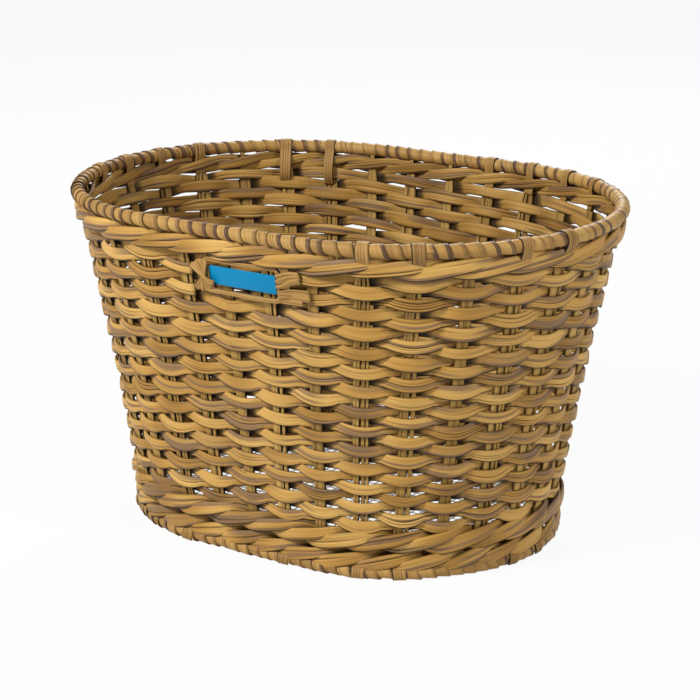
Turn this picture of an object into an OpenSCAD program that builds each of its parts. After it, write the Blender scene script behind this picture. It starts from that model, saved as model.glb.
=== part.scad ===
/* [Overall] */
// Length over the bound rim
rim_length = 400; // [380:1:425]
// Width over the bound rim
rim_width = 294; // [275:1:315]
// Length over the bound base ring
base_length = 317; // [300:1:335]
// Width over the bound base ring
base_width = 229; // [215:1:245]
// Height from the floor to the top of the bound rim
height = 235; // [225:1:250]

/* [Rings and binding] */
// Diameter of the steel wire inside the rim and the base ring
ring_wire_d = 5; // [4:0.5:6]
// Thickness of the strip that binds the two rings
binding_t = 1.2; // [1:0.1:1.6]
// Depth of the flat that the base binding stands on
base_flat = 0.5; // [0.3:0.1:0.8]
// Turns of strip on each quarter of the rim
binding_turns = 24; // [16:1:24]
// Gap between neighbouring turns of the rim binding
turn_gap = 0.9; // [0.7:0.1:1.5]

/* [Stakes] */
// Number of stakes round the wall
stake_count = 32; // [28:4:32]
// Diameter of one cane of a stake
cane_d = 3.2; // [2.6:0.1:3.6]
// Distance between the two canes of a stake, centre to centre
cane_pitch = 3.8; // [3.7:0.1:4.2]
// Height of the stakes' upper ends above the centre of the rim
stake_top = 2; // [1:0.5:2.5]

/* [Weaving] */
// Thickness of a weaver
weaver_t = 2.4; // [1.8:0.1:2.8]
// Width of a weaver where it crosses a stake
weaver_w = 7.4; // [6:0.1:7.6]
// How far a weaver sinks in front of a stake and rises behind one
weaver_dip = 1.2; // [0.8:0.1:1.6]
// Thickness of a wale strand
wale_t = 4; // [3:0.1:4.2]
// Width of a wale strand in front of a stake
wale_w = 5.8; // [5:0.1:6.2]
// Width of a wale strand where it passes through the wall
wale_cross_w = 3.4; // [3:0.1:3.6]
// How far a wale strand stands out in front of the stakes
wale_out = 7.2; // [7:0.1:8]
// Height of the slot between the upper wale and the rim
strap_gap = 4.6; // [4.4:0.1:7]

/* [Lashings] */
// Width of a lashing strip
lashing_w = 8; // [6:0.5:10]
// Thickness of a lashing strip
lashing_t = 1.2; // [0.8:0.1:1.6]

/* [Base mesh] */
// Diameter of the wire round the edge of the mesh
border_d = 2.4; // [2:0.1:3]
// Diameter of the mesh wires
mesh_d = 1.2; // [0.8:0.1:1.6]
// Distance between mesh wires
mesh_pitch = 15; // [15:1:25]

/* [Label] */
// Width of the label plate
label_w = 53; // [48:1:56]
// Height of the label plate
label_h = 12.4; // [10:0.1:13]
// Thickness of the label plate
label_t = 1.4; // [1:0.1:2]
// Distance of the label's middle from the middle of the front
label_x = 12; // [10:0.5:14]
// How far the label plate sits above the middle of its frame
label_rise = 1; // [0:0.1:2]
// Thickness of the frame strip round the label, front to back
frame_t = 2.4; // [1.8:0.1:3]
// Width of the frame strip
frame_w = 3; // [2.4:0.1:3.2]
// Turns of strip in each knot beside the label
knot_turns = 5; // [3:1:5]

/* [Hidden] */
$fn = 96;
cane_color = [0.66, 0.47, 0.24];
strip_color = [0.70, 0.51, 0.27];
steel_color = [0.74, 0.75, 0.77];
label_color = [0.08, 0.50, 0.78];

// Clearances: between touching pieces, stacked rows, stacked wale strands and crossed mesh wires, between a
// wire and its sleeve, and between a strand and the stake that it passes
touch = 0.3;
row_gap = 0.6;
wale_gap = 0.4;
wire_gap = 0.05;
sleeve_gap = 0.1;
pass_gap = 0.1;

// Rows of weavers, and the strands of a row and of a wale
rows = 13;
side_names = ["a", "b"];
wale_names = ["a", "b", "c"];
quarter_names = ["front", "right", "back", "left"];

// The rings: six facets make a turn of the rim binding, so its inside clears the wire at mid facet
turn_sides = 6;
turn_r = ring_wire_d / 2 / cos(180 / turn_sides) + sleeve_gap;
bound_r = turn_r + binding_t;
rim_z = height - bound_r;
base_z = bound_r - base_flat;
rim_r = rim_width / 2 - bound_r;
rim_s = (rim_length - rim_width) / 2;
base_r = base_width / 2 - bound_r;
base_s = (base_length - base_width) / 2;

// The wall: the stakes stand just inside both rings
inset = bound_r + touch + cane_d / 2;
stake_foot = base_z - bound_r / 2;
half_gap = (4 * base_s + 2 * PI * (base_r - inset)) / stake_count / 2;
lean = atan((rim_r - base_r) / (rim_z - base_z));

// How far a strand of thickness t stands from a stake that it passes, so that it clears both canes, which
// lean and so are a little deeper at a level cut
lean_share = 1.04;
cane_share = cane_pitch / 2 / half_gap;
function pass_out(t) = (t / 2 + (cane_d / 2 + touch) * lean_share) / (1 - cane_share) + pass_gap;
weaver_out = pass_out(weaver_t);
wale_back = pass_out(wale_t) + touch;

// A wale strand climbs by this step from one stake to the next. It passes through the wall this share of a
// step above or below the middle, and this far in front of the stakes' middle.
wale_step = wale_w + wale_gap;
wale_cross_share = 0.58;
wale_cross_h = wale_step * wale_cross_share;
wale_through = 1.2;
wale_half = (wale_step + wale_w) / 2;

// Stakes with a lashing over the rim, and over the base ring, counted from the front's middle to the right
rim_lashed = [3, 4, 6, 7, 12, 13, 14, 15, 19, 20, 22, 23, 24, 25];
base_lashed = [1, 3, 4, 7, 8, 11, 13, 16, 18, 20, 23, 24, 27, 30];

// Stakes that the first strands of the wales start behind: at the back, and to either side of that
upper_wale_start = stake_count / 2;
lower_wale_starts = [upper_wale_start - 2, upper_wale_start + 2];

// Levels of the wales and the rows, from the floor upwards
lower_wale_z = [for (i = [0:1])
    base_z + bound_r + lashing_t + 2 * touch + wale_half + i * (2 * wale_half + touch)];
upper_wale_z = rim_z - bound_r - strap_gap - wale_half;
weaver_half = weaver_dip + weaver_w / 2;
first_weaver_z = lower_wale_z[1] + wale_half + row_gap + weaver_half;
last_weaver_z = upper_wale_z - wale_half - row_gap - weaver_half;
weaver_pitch = (last_weaver_z - first_weaver_z) / (rows * len(side_names) - 1);
weaver_cross_w = weaver_pitch - row_gap;

// The label: plate, frame and knots are set in the front wall, under the upper wale. The plate clears the
// knots by its gap, and the frame's strips above and below it by its room.
label_gap = 0.8;
label_room = 3.2;
label_corner = 1;
frame_half_h = label_h / 2 + label_room + frame_w;
label_z = upper_wale_z - wale_half - touch - frame_half_h;
frame_out = cane_d / 2 + touch + frame_t / 2;

// A knot's strip thickness and facets to a turn, the room inside its turns beside the frame and before it,
// the gap between its turns, and the share of a turn that its ends take up
knot_t = 1.3;
knot_sides = 8;
knot_side_room = 2.5;
knot_face_room = 0.5;
knot_gap = 0.6;
knot_ends = 0.8;
knot_rx = frame_w / 2 + knot_side_room;
knot_rz = (frame_t / 2 + touch) / cos(180 / knot_sides) + knot_face_room;
knot_pitch = (2 * frame_half_h - 2 * frame_w - 2 * touch) / (knot_turns + knot_ends);
knot_x = label_w / 2 + label_gap + knot_rx + knot_t;
window_half = knot_x + knot_rx + knot_t + touch;
window_z = label_z - frame_half_h - touch;

// The base mesh lies on its border wire, which lies just inside the stakes
border_in = inset + cane_d / 2 + touch + border_d / 2;
border_r = base_r - border_in;
long_wire_z = base_z + border_d / 2 + mesh_d / 2 + wire_gap;
cross_wire_z = long_wire_z + mesh_d + wire_gap;

function weaver_name(row, side) = str("weaver_", row < 10 ? "0" : "", row, side);
function mix(a, b, t) = a + (b - a) * t;
function level(z) = (z - base_z) / (rim_z - base_z);

// A point of a stadium outline, with half straights s and end radius r, a share u of the way round
// from the middle of the front towards the right: its x, its y and the angle of its outward normal
function outline(u, s, r) =
    let (q = (u - floor(u)) * (4 * s + 2 * PI * r), half = PI * r, turn = 180 / half)
    q < s ? [q, -r, -90]
    : q < s + half ? let (a = (q - s) * turn - 90) [s + r * cos(a), r * sin(a), a]
    : q < 3 * s + half ? [2 * s + half - q, r, 90]
    : q < 3 * s + 2 * half ? let (a = (q - 3 * s - half) * turn + 90) [-s + r * cos(a), r * sin(a), a]
    : [q - 4 * s - 2 * half, -r, -90];

// The same on the wall that the stakes stand in, at height z, moved out along the normal by out
function wall_outline(u, z) = outline(u, mix(base_s, rim_s, level(z)), mix(base_r, rim_r, level(z)) - inset);
function wall(u, z, out, along = 0) =
    let (p = wall_outline(u, z), a = p[2])
    [p[0] + out * cos(a) - along * sin(a), p[1] + out * sin(a) + along * cos(a), z];
function wall_length(z) = 4 * mix(base_s, rim_s, level(z)) + 2 * PI * (mix(base_r, rim_r, level(z)) - inset);

// A strand's cross-section at stake position k: flat behind and ridged in front, w wide and t thick
function strand_ring(k, z, out, w, t) =
    let (u = k / stake_count)
    [wall(u, z - w / 2, out - t / 2), wall(u, z + w / 2, out - t / 2), wall(u, z, out + t / 2)];

// Triangles of a three-sided tube through n rings, closed into a loop or capped at its ends
function tube_faces(n, closed) = concat(
    [for (i = [0:closed ? n - 1 : n - 2], j = [0:2])
        let (
            next = (i + 1) % n,
            side = (j + 1) % 3,
            a = 3 * i + j,
            b = 3 * i + side,
            c = 3 * next + j,
            d = 3 * next + side
        )
        each [[a, c, d], [a, d, b]]],
    closed ? [] : [[0, 1, 2], [3 * n - 1, 3 * n - 2, 3 * n - 3]]
);
// When the rings run the other way about their path, the faces are turned over
module tube(rings, closed, turned = false) {
    faces = tube_faces(len(rings), closed);
    polyhedron(
        points = [for (r = rings) each r],
        faces = turned ? [for (f = faces) [f[2], f[1], f[0]]] : faces
    );
}

// A straight round rod from p to q
module rod(p, q, d) {
    v = q - p;
    translate(p)
        rotate([0, acos(v[2] / norm(v)), atan2(v[1], v[0])])
            cylinder(h = norm(v), d = d);
}

// A stadium-shaped ring of round wire, or a sleeve when it has a bore
module ring_section(d, bore) {
    difference() {
        circle(d = d);
        if (bore > 0) circle(d = bore);
    }
}
module stadium_ring(s, r, d, bore = 0) {
    for (side = [-1, 1]) {
        translate([side * s, 0, 0])
            rotate([0, 0, -90 * side])
                rotate_extrude(angle = 180)
                    translate([r, 0])
                        ring_section(d, bore);
        translate([-s, side * r, 0])
            rotate([90, 0, 90])
                linear_extrude(2 * s)
                    ring_section(d, bore);
    }
}

// Rim

module rim_wire() {
    color(steel_color)
        translate([0, 0, rim_z])
            stadium_ring(rim_s, rim_r, ring_wire_d);
}

// A point on the rim, a share u of the way round, at angle a about the wire and r from its centre
function rim_point(u, a, r) =
    let (p = outline(u, rim_s, rim_r))
    [p[0] + r * cos(a) * cos(p[2]), p[1] + r * cos(a) * sin(p[2]), rim_z + r * sin(a)];

// One quarter of the rim binding is one strip in a helix, ridged along its middle
turn_share = 1 / 4 / (binding_turns + 1);
strip_share = turn_share - turn_gap / (4 * rim_s + 2 * PI * (rim_r - bound_r));
function binding_ring(quarter, i) =
    let (u = quarter / 4 - 1 / 8 + turn_share / 2 + turn_share * i / turn_sides, a = -360 * i / turn_sides)
    [rim_point(u - strip_share / 2, a, turn_r),
     rim_point(u, a, bound_r),
     rim_point(u + strip_share / 2, a, turn_r)];
function binding_rings(quarter) = [for (i = [0:binding_turns * turn_sides]) binding_ring(quarter, i)];

module rim_binding(quarter) {
    rings = binding_rings(quarter);
    gaps = [for (i = [0:len(rings) - 1 - turn_sides]) norm(rings[i + turn_sides][0] - rings[i][2])];
    echo(str("rim_binding_", quarter_names[quarter], " least gap to itself, mm: "), min(gaps));
    color(strip_color)
        tube(rings, false, true);
}

// A rim lashing's outline in the plane across the rim: over the rim and the stake beside it, with legs
// that hang down to this far above the upper wale
leg_gap = 1;
strap_r = bound_r + touch;
strap_reach = inset + cane_d / 2 + touch - strap_r;
strap_leg = bound_r + strap_gap - leg_gap;
module strap_side(r, leg) {
    for (x = [0, -strap_reach]) translate([x, 0]) circle(r = r);
    translate([-strap_reach, 0]) square([strap_reach, r]);
    translate([-strap_reach - r, -leg]) square([strap_reach + 2 * r, leg]);
}
module strap_outline() {
    difference() {
        strap_side(strap_r + lashing_t, strap_leg);
        strap_side(strap_r, strap_leg + leg_gap);
    }
}

module rim_lashings() {
    color(strip_color)
        for (k = rim_lashed)
            translate(wall(k / stake_count, rim_z, inset))
                rotate([90, 0, wall_outline(k / stake_count, rim_z)[2]])
                    rotate([0, 0, -lean])
                        translate([0, 0, -lashing_w / 2])
                            linear_extrude(lashing_w)
                                strap_outline();
}

// Wall

module stakes(quarter) {
    group = stake_count / 4;
    color(cane_color)
        for (i = [0:group - 1], side = [-1, 1]) {
            u = (quarter * group - group / 2 + i) / stake_count;
            along = side * cane_pitch / 2;
            rod(wall(u, stake_foot, 0, along), wall(u, rim_z + stake_top, 0, along), cane_d);
        }
}

// The weavers are randed: the two of a row chase each other, the first in front of the odd stakes and behind
// the even ones, and the second, which lies on it, the other way about
function in_front(k, side) = (k + side) % 2 != 0;
function weaver_ring(k, z, side) =
    let (
        away = 2 * abs(k - round(k)),
        forward = (in_front(round(k), side) ? 1 : -1) * (1 - away),
        w = mix(weaver_w, weaver_cross_w, away)
    )
    strand_ring(k, z - weaver_dip * forward, weaver_out * forward, w, weaver_t);

// The weavers beside the label stop at its knots
function window_end(side, z) = (label_x + side * window_half) / wall_length(z) * stake_count;
module weaver(row, side) {
    z = first_weaver_z + (len(side_names) * (row - 1) + side) * weaver_pitch;
    open = z + weaver_half > window_z;
    first = window_end(1, z);
    last = stake_count + window_end(-1, z);
    closed_stops = [for (i = [0:2 * stake_count - 1]) i / 2];
    open_stops = concat([first], [for (i = [2 * ceil(first):2 * floor(last)]) i / 2], [last]);
    stops = open ? open_stops : closed_stops;
    color(cane_color)
        tube([for (k = stops) weaver_ring(k, z, side)], !open);
}

// A wale strand passes in front of two stakes, climbing, and behind the third, falling. Strand n starts
// behind its own stake, and ends where the start of another strand takes its place.
function wale_ring(k, z, phase, start) =
    phase == 0 ? strand_ring(k + start, z, -wale_back, wale_w, wale_t)
    : phase == 1 ? strand_ring(k + start, z - wale_step / 2, wale_out, wale_w, wale_t)
    : strand_ring(k + start, z + wale_step / 2, wale_out, wale_w, wale_t);
function wale_through_ring(k, z, rise, start) =
    strand_ring(k + start, z + rise * wale_cross_h, wale_through, wale_cross_w, wale_t);
function wale_last(strand) =
    let (top = stake_count + 1) top - (top - strand - 2 + 3) % 3;
module wale(z, strand, start) {
    last = wale_last(strand);
    color(cane_color)
        tube(
            [for (k = [strand:last])
                let (phase = (k - strand) % 3)
                each phase == 0 ? [wale_ring(k, z, 0, start), wale_through_ring(k + 0.5, z, -1, start)]
                : phase == 1 ? [wale_ring(k, z, 1, start)]
                : [wale_ring(k, z, 2, start), wale_through_ring(k + 0.5, z, 1, start)]],
            false
        );
}

// Base

module base_wire() {
    color(steel_color)
        translate([0, 0, base_z])
            stadium_ring(base_s, base_r, ring_wire_d);
}

module base_binding() {
    color(strip_color)
        difference() {
            translate([0, 0, base_z])
                stadium_ring(base_s, base_r, 2 * bound_r, ring_wire_d + 2 * sleeve_gap);
            translate([-base_length, -base_width, -bound_r])
                cube([2 * base_length, 2 * base_width, bound_r]);
        }
}

// A base lashing hugs the outer side of the base ring, from just above the floor to over its top
module base_lashings() {
    r = bound_r + touch;
    color(strip_color)
        for (k = base_lashed)
            translate(wall(k / stake_count, base_z, inset))
                rotate([90, 0, wall_outline(k / stake_count, base_z)[2]])
                    translate([0, 0, -lashing_w / 2])
                        linear_extrude(lashing_w)
                            intersection() {
                                ring_section(2 * (r + lashing_t), 2 * r);
                                translate([-ring_wire_d / 2, touch - base_z]) square(2 * (r + lashing_t));
                            }
}

module mesh_border() {
    color(steel_color)
        translate([0, 0, base_z])
            stadium_ring(base_s, border_r, border_d);
}

// Wires along the base: each ends over the middle of the border wire
module mesh_long_wires() {
    count = floor((border_r - border_d) / mesh_pitch);
    color(steel_color)
        for (i = [-count:count]) {
            y = i * mesh_pitch;
            x = base_s + sqrt(border_r * border_r - y * y);
            rod([-x, y, long_wire_z], [x, y, long_wire_z], mesh_d);
        }
}
module mesh_cross_wires() {
    count = floor((base_s + border_r - border_d) / mesh_pitch);
    color(steel_color)
        for (i = [-count:count]) {
            x = i * mesh_pitch;
            over = max(0, abs(x) - base_s);
            y = sqrt(border_r * border_r - over * over);
            rod([x, -y, cross_wire_z], [x, y, cross_wire_z], mesh_d);
        }
}

// Label

// The label's own frame: x along the front, y up the wall, z out of it, from the stakes' middle
module on_label() {
    p = wall(label_x / wall_length(label_z), label_z, 0);
    translate(p)
        rotate([90 + lean, 0, 0])
            children();
}

module rounded(w, h, r) {
    for (x = [-1, 1], y = [-1, 1]) translate([x * (w / 2 - r), y * (h / 2 - r)]) circle(r = r);
    square([w - 2 * r, h], center = true);
    square([w, h - 2 * r], center = true);
}

module label_plate() {
    color(label_color)
        on_label()
            translate([0, label_rise, cane_d / 2 + touch])
                linear_extrude(label_t)
                    rounded(label_w, label_h, label_corner);
}

module label_frame() {
    window_w = 2 * knot_x - frame_w;
    window_h = 2 * (frame_half_h - frame_w);
    color(strip_color)
        on_label()
            translate([0, 0, cane_d / 2 + touch])
                linear_extrude(frame_t)
                    difference() {
                        rounded(window_w + 2 * frame_w, window_h + 2 * frame_w, frame_w + label_corner);
                        rounded(window_w, window_h, label_corner);
                    }
}

// A knot is a strip wound round one end of the frame
function knot_ring(i, x) =
    let (
        a = 360 * i / knot_sides,
        y = knot_pitch * (i / knot_sides - knot_turns / 2),
        w = (knot_pitch - knot_gap) / 2,
        in = [x + knot_rx * cos(a), frame_out + knot_rz * sin(a)],
        out = [x + (knot_rx + knot_t) * cos(a), frame_out + (knot_rz + knot_t) * sin(a)]
    )
    [[in[0], y + w, in[1]], [out[0], y, out[1]], [in[0], y - w, in[1]]];
module label_knot(side) {
    rings = [for (i = [0:knot_turns * knot_sides]) knot_ring(i, side * knot_x)];
    gaps = [for (i = [0:len(rings) - 1 - knot_sides]) norm(rings[i + knot_sides][2] - rings[i][0])];
    echo(str("label knot ", side < 0 ? "left" : "right", " least gap to itself, mm: "), min(gaps));
    color(strip_color)
        on_label()
            tube([for (r = rings) [r[2], r[1], r[0]]], false);
}

rim_wire();
for (q = [0:3]) rim_binding(q);
rim_lashings();
for (s = [0:2])
    wale(upper_wale_z, s, upper_wale_start);
for (r = [1:rows], s = [0:1]) weaver(r, s);
for (i = [1:2], s = [0:2])
    wale(lower_wale_z[i - 1], s, lower_wale_starts[i - 1]);
for (q = [0:3]) stakes(q);
base_wire();
base_binding();
base_lashings();
mesh_border();
mesh_long_wires();
mesh_cross_wires();
label_plate();
label_frame();
label_knot(-1);  // label_knot_left
label_knot(1);  // label_knot_right
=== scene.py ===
import math
from dataclasses import dataclass

import bmesh
import bpy
import numpy as np
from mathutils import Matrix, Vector


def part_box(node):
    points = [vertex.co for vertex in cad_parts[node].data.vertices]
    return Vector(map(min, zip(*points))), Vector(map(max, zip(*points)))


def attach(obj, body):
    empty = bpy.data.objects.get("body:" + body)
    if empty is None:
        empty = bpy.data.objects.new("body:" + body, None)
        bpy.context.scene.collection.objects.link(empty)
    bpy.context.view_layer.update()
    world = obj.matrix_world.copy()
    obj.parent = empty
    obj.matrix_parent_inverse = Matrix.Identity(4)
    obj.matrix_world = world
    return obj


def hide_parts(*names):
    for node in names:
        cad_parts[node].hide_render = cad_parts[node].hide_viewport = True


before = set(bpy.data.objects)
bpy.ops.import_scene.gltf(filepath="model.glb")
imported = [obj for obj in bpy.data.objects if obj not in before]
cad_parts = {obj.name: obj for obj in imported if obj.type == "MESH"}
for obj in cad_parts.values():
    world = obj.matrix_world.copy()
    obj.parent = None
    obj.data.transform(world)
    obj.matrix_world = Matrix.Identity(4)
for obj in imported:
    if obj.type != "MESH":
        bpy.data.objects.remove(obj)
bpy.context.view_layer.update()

# Sizes are in metres. Places along the wall, named k, are counted in stakes from the middle of the front
# towards the right.
MM = 0.001
STAKES = 32
ROWS = 13
QUARTERS = ["front", "right", "back", "left"]
SIDES = ["a", "b"]
WALE_STRANDS = ["a", "b", "c"]
UP = np.array([0.0, 0.0, 1.0])

# Seeds of the random draws. A weaver takes its row as its second one.
SEED = 32
UPPER_WALE_SEED = 50
LOWER_WALE_SEEDS = [51, 52]
STAKE_SEED = 100
RIM_SEED = 200
BASE_SEED = 201
RIM_LASHING_SEED = 300
BASE_LASHING_SEED = 301
FRAME_SEED = 400
KNOT_SEED = 401


def draws(*seeds):
    """A source of random draws that are the same on every run."""
    return np.random.default_rng([SEED, *seeds])


def middle_z(node):
    low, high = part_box(node)
    return (low[2] + high[2]) / 2


class Ring:
    """The centre line of a wire ring of the frame: half straights s, end radius r and height z."""

    def __init__(self, node):
        low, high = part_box(node)
        wire_r = (high[2] - low[2]) / 2
        self.s = high[0] - high[1]
        self.r = high[1] - wire_r
        self.z = middle_z(node)
        self.length = 4 * self.s + 2 * math.pi * self.r


RIM = Ring("rim_wire")
BASE = Ring("base_wire")
BORDER = Ring("mesh_border")
BOUND_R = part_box("base_binding")[1][1] - BASE.r
LEAN = math.atan((RIM.r - BASE.r) / (RIM.z - BASE.z))

# The wall: the stakes' middle lies this far inside both rings, less a bulge that grows above the base ring.
# The bulge is given at shares of the way up.
INSET = 6.1 * MM
BULGE_LEVELS = [0.05, 0.14, 0.5, 0.93]
BULGES = np.array([0.0, 3.1, 2.0, 4.7]) * MM

# Rings of vertices from one stake to the next
STEPS = 12


def outline(u, s, r):
    """Points of a stadium, a share u of the way round from the middle of the front towards the right, and the
    outward normals there."""
    quarter = math.pi / 2
    half = math.pi * r
    q = np.mod(u, 1.0) * (4 * s + 2 * half)
    front_right = q < s
    right = (q >= s) & (q < s + half)
    back = (q >= s + half) & (q < 3 * s + half)
    left = (q >= 3 * s + half) & (q < 3 * s + 2 * half)
    angles = [(q - s) / r - quarter, quarter + 0 * q, (q - 3 * s - half) / r + quarter]
    angle = np.select([right, back, left], angles, -quarter)
    middles = [q, s + 0 * q, 2 * s + half - q, 0 * q - s]
    middle = np.select([front_right, right, back, left], middles, q - 4 * s - 2 * half)
    normal = np.stack([np.cos(angle), np.sin(angle), 0 * q], -1)
    point = np.stack([middle + r * np.cos(angle), r * np.sin(angle), 0 * q], -1)
    return point, normal


def wall_shape(z):
    """The half straights and the end radius of the wall at height z."""
    level = (z - BASE.z) / (RIM.z - BASE.z)
    s = BASE.s + (RIM.s - BASE.s) * level
    r = BASE.r + (RIM.r - BASE.r) * level - INSET + np.interp(level, BULGE_LEVELS, BULGES)
    return s, r


def wall(k, z, out):
    """Points of the wall at places k and heights z, moved out of it, and the outward normals there."""
    s, r = wall_shape(z)
    point, normal = outline(k / STAKES, s, r)
    point = point + normal * out[:, None]
    point[:, 2] = z
    return point, normal


def wall_length(z):
    """The length once round the wall at height z."""
    s, r = wall_shape(z)
    return 4 * s + 2 * math.pi * r


def ease(t):
    return t * t * (3 - 2 * t)


def wander(rng, k, step, size):
    """A smooth random value at places k, with a new one between -size and size at every step. It repeats
    about once round the wall."""
    count = max(2, round(STAKES / step))
    values = rng.uniform(-size, size, count)
    t = k / step
    i = np.floor(t).astype(int)
    f = ease(t - i)
    return values[i % count] * (1 - f) + values[(i + 1) % count] * f


def unit(v):
    return v / np.linalg.norm(v, axis=-1, keepdims=True)


def strip_frame(centre, normal, roll, closed):
    """Directions across a strip through centre points and out of its face, rolled about its run."""
    if closed:
        run = np.roll(centre, -1, 0) - np.roll(centre, 1, 0)
    else:
        run = np.gradient(centre, axis=0)
    run = unit(run)
    face = unit(normal - (normal * run).sum(-1, keepdims=True) * run)
    across = np.cross(face, run)
    roll = np.asarray(roll)[..., None]
    return np.cos(roll) * across + np.sin(roll) * face, np.cos(roll) * face - np.sin(roll) * across


def run_lengths(points):
    """Lengths along a loop of points, from its first one round to it again."""
    steps = np.linalg.norm(np.roll(points, -1, 0) - points, axis=-1)
    return np.concatenate([[0], np.cumsum(steps)])


# A cane's section, as shares of its width and thickness: a flat face with rounded edges, then a flat back,
# both with places for narrow grooves. The higher its power, the squarer a side is.
GROOVES = np.array([0.2, 0.0, -0.2])
GROOVE_W = 0.055
GROOVE_POINTS = (GROOVES[:, None] + GROOVE_W * np.array([1, 0, -1])).ravel()
FACE_EDGE = np.array([0.5, 0.475, 0.43, 0.38])
FACE_POWER = 5
FACE_ACROSS = np.concatenate([FACE_EDGE, GROOVE_POINTS, -FACE_EDGE[::-1]])
FACE_HEIGHT = 0.5 * np.sqrt(1 - np.abs(2 * FACE_ACROSS) ** FACE_POWER)
BACK_EDGE = np.array([0.485, 0.44])
BACK_POWER = 8
BACK_ACROSS = np.concatenate([-BACK_EDGE, GROOVE_POINTS[::-1], BACK_EDGE[::-1]])
BACK_HEIGHT = -0.5 * np.sqrt(1 - np.abs(2 * BACK_ACROSS) ** BACK_POWER)
SECTION_ACROSS = np.concatenate([FACE_ACROSS, BACK_ACROSS])
SECTION_HEIGHT = np.concatenate([FACE_HEIGHT, BACK_HEIGHT])
ON_FACE = np.arange(len(SECTION_ACROSS)) < len(FACE_ACROSS)

# Painted shade on the section: a strong shadow line along one edge (the lower one on a weaver), a weaker line
# along the other edge, shade all over its back, and shade in a groove by its depth
FACE_SHADE = np.concatenate([[0.6, 0.3, 0.0, 0.0], np.zeros(len(GROOVE_POINTS)), [0.1, 0.9, 1.0, 1.0]])
BACK_SHADE = np.concatenate([[1.0, 0.7], np.full(len(GROOVE_POINTS), 0.16), [0.2, 0.5]])
SECTION_SHADE = np.concatenate([FACE_SHADE, BACK_SHADE])
GROOVE_SHADE = 1.4

# The grooves part a cane into bands, counted from its upper edge.
BANDS = len(GROOVES) + 1
SECTION_BAND = np.searchsorted(-GROOVES, -SECTION_ACROSS)


def cane_section(width, thick, depths, worn=None):
    """The section at each ring: its places across and out, how much painted shade lies there and how worn it
    is. The grooves have depths, as shares of the thickness, and the wear is given for each band."""
    n = len(width)
    height = np.repeat(SECTION_HEIGHT[None], n, 0)
    line = np.repeat(SECTION_SHADE[None], n, 0)
    for place, depth in zip(GROOVES, depths):
        dip = np.broadcast_to(np.clip(depth, 0, None), n)[:, None]
        at = np.flatnonzero(SECTION_ACROSS == place)
        height[:, at] -= dip * np.sign(SECTION_HEIGHT[at])
        # Painted shade in a groove, by its depth
        line[:, at] += GROOVE_SHADE * dip
    if worn is None:
        worn = np.zeros((n, BANDS))
    over = SECTION_ACROSS * width[:, None]
    return over, height * thick, np.clip(line, 0, 1), worn[:, SECTION_BAND]


def link_piece(name, mesh, material, node):
    """Puts a piece's mesh in the scene. It rides on the frame and stands for its CAD node."""
    mesh.materials.append(material)
    obj = bpy.data.objects.new(name, mesh)
    bpy.context.scene.collection.objects.link(obj)
    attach(obj, "root")
    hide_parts(node)


class Piece:
    """One visible piece, made of swept strips."""

    # Strips swept so far: each takes its own stretch of the streaks
    swept = 0

    def __init__(self, name, material, slot, node):
        self.name = name
        self.material = material
        self.slot = slot
        self.node = node
        self.points = []
        self.faces = []
        self.uvs = []
        self.paint = []
        self.count = 0

    def sweep(self, centre, across, face, section, tone, tint, closed=False):
        """Adds a tube through the centre points. The section gives places across and out, dark lines, which
        are painted shade on the canes, and wear, the tint adds to the wear, and tone and tint are given along
        the tube."""
        over, out, line, worn = section
        points = centre[:, None] + across[:, None] * over[..., None] + face[:, None] * out[..., None]
        n, m = points.shape[:2]
        along = run_lengths(centre) + Piece.swept
        around = run_lengths(np.stack([over, out], -1).mean(0))
        self.add_sides(along, around, closed)
        if not closed:
            self.add_caps(along, around)
        tones = np.broadcast_to(tone[:, None], (n, m))
        worn = np.clip(worn + tint[:, None], 0, 1)
        paint = np.stack([tones, worn, line, np.ones((n, m))], -1)
        self.paint.append(paint.reshape(-1, 4))
        self.points.append(points.reshape(-1, 3))
        self.count += n * m
        Piece.swept += 1

    def add_sides(self, along, around, closed):
        """Adds a tube's side faces, each corner placed by its lengths along and around the tube."""
        n = len(along) - 1
        m = len(around) - 1
        rings = n if closed else n - 1
        i, j = (index.ravel() for index in np.meshgrid(np.arange(rings), np.arange(m), indexing="ij"))
        i_next = (i + 1) % n
        j_next = (j + 1) % m
        quads = np.stack([i * m + j, i * m + j_next, i_next * m + j_next, i_next * m + j], -1)
        self.faces += (quads + self.count).tolist()
        u = np.stack([along[i], along[i], along[i + 1], along[i + 1]], -1)
        v = np.stack([around[j], around[j + 1], around[j + 1], around[j]], -1)
        self.uvs += np.stack([u, v], -1).reshape(-1, 2).tolist()

    def add_caps(self, along, around):
        """Closes a tube's two ends."""
        n = len(along) - 1
        m = len(around) - 1
        for ring, corners in ((0, range(m - 1, -1, -1)), (n - 1, range(m))):
            self.faces.append([self.count + ring * m + c for c in corners])
            self.uvs += [(along[ring], around[c]) for c in corners]

    def make(self):
        mesh = bpy.data.meshes.new(self.name)
        mesh.from_pydata(np.concatenate(self.points).tolist(), [], self.faces)
        layer = mesh.uv_layers.new(name="strand")
        layer.data.foreach_set("uv", np.array(self.uvs, dtype=np.float32).ravel())
        paint = mesh.color_attributes.new("paint", "FLOAT_COLOR", "POINT")
        paint.data.foreach_set("color", np.concatenate(self.paint).astype(np.float32).ravel())
        work = bmesh.new()
        work.from_mesh(mesh)
        bmesh.ops.recalc_face_normals(work, faces=work.faces)
        work.to_mesh(mesh)
        work.free()
        mesh.shade_smooth()
        link_piece(self.name, mesh, self.material, self.node)


# Materials

# Streaks of the cane's colour: how often they change along a strip and over it, each metre, and their detail
FINE_STREAKS = (14.0, 1900.0, 3.0)
BROAD_STREAKS = (9.0, 280.0, 2.0)
CRACKS = (7.0, 750.0, 1.0)
# How much the streaks change the tone, and the tones at which the colours of a cane lie
FINE_SHARE = 0.6
BROAD_SHARE = 0.5
TONE_STOPS = (0.05, 0.5, 0.95)
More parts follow.
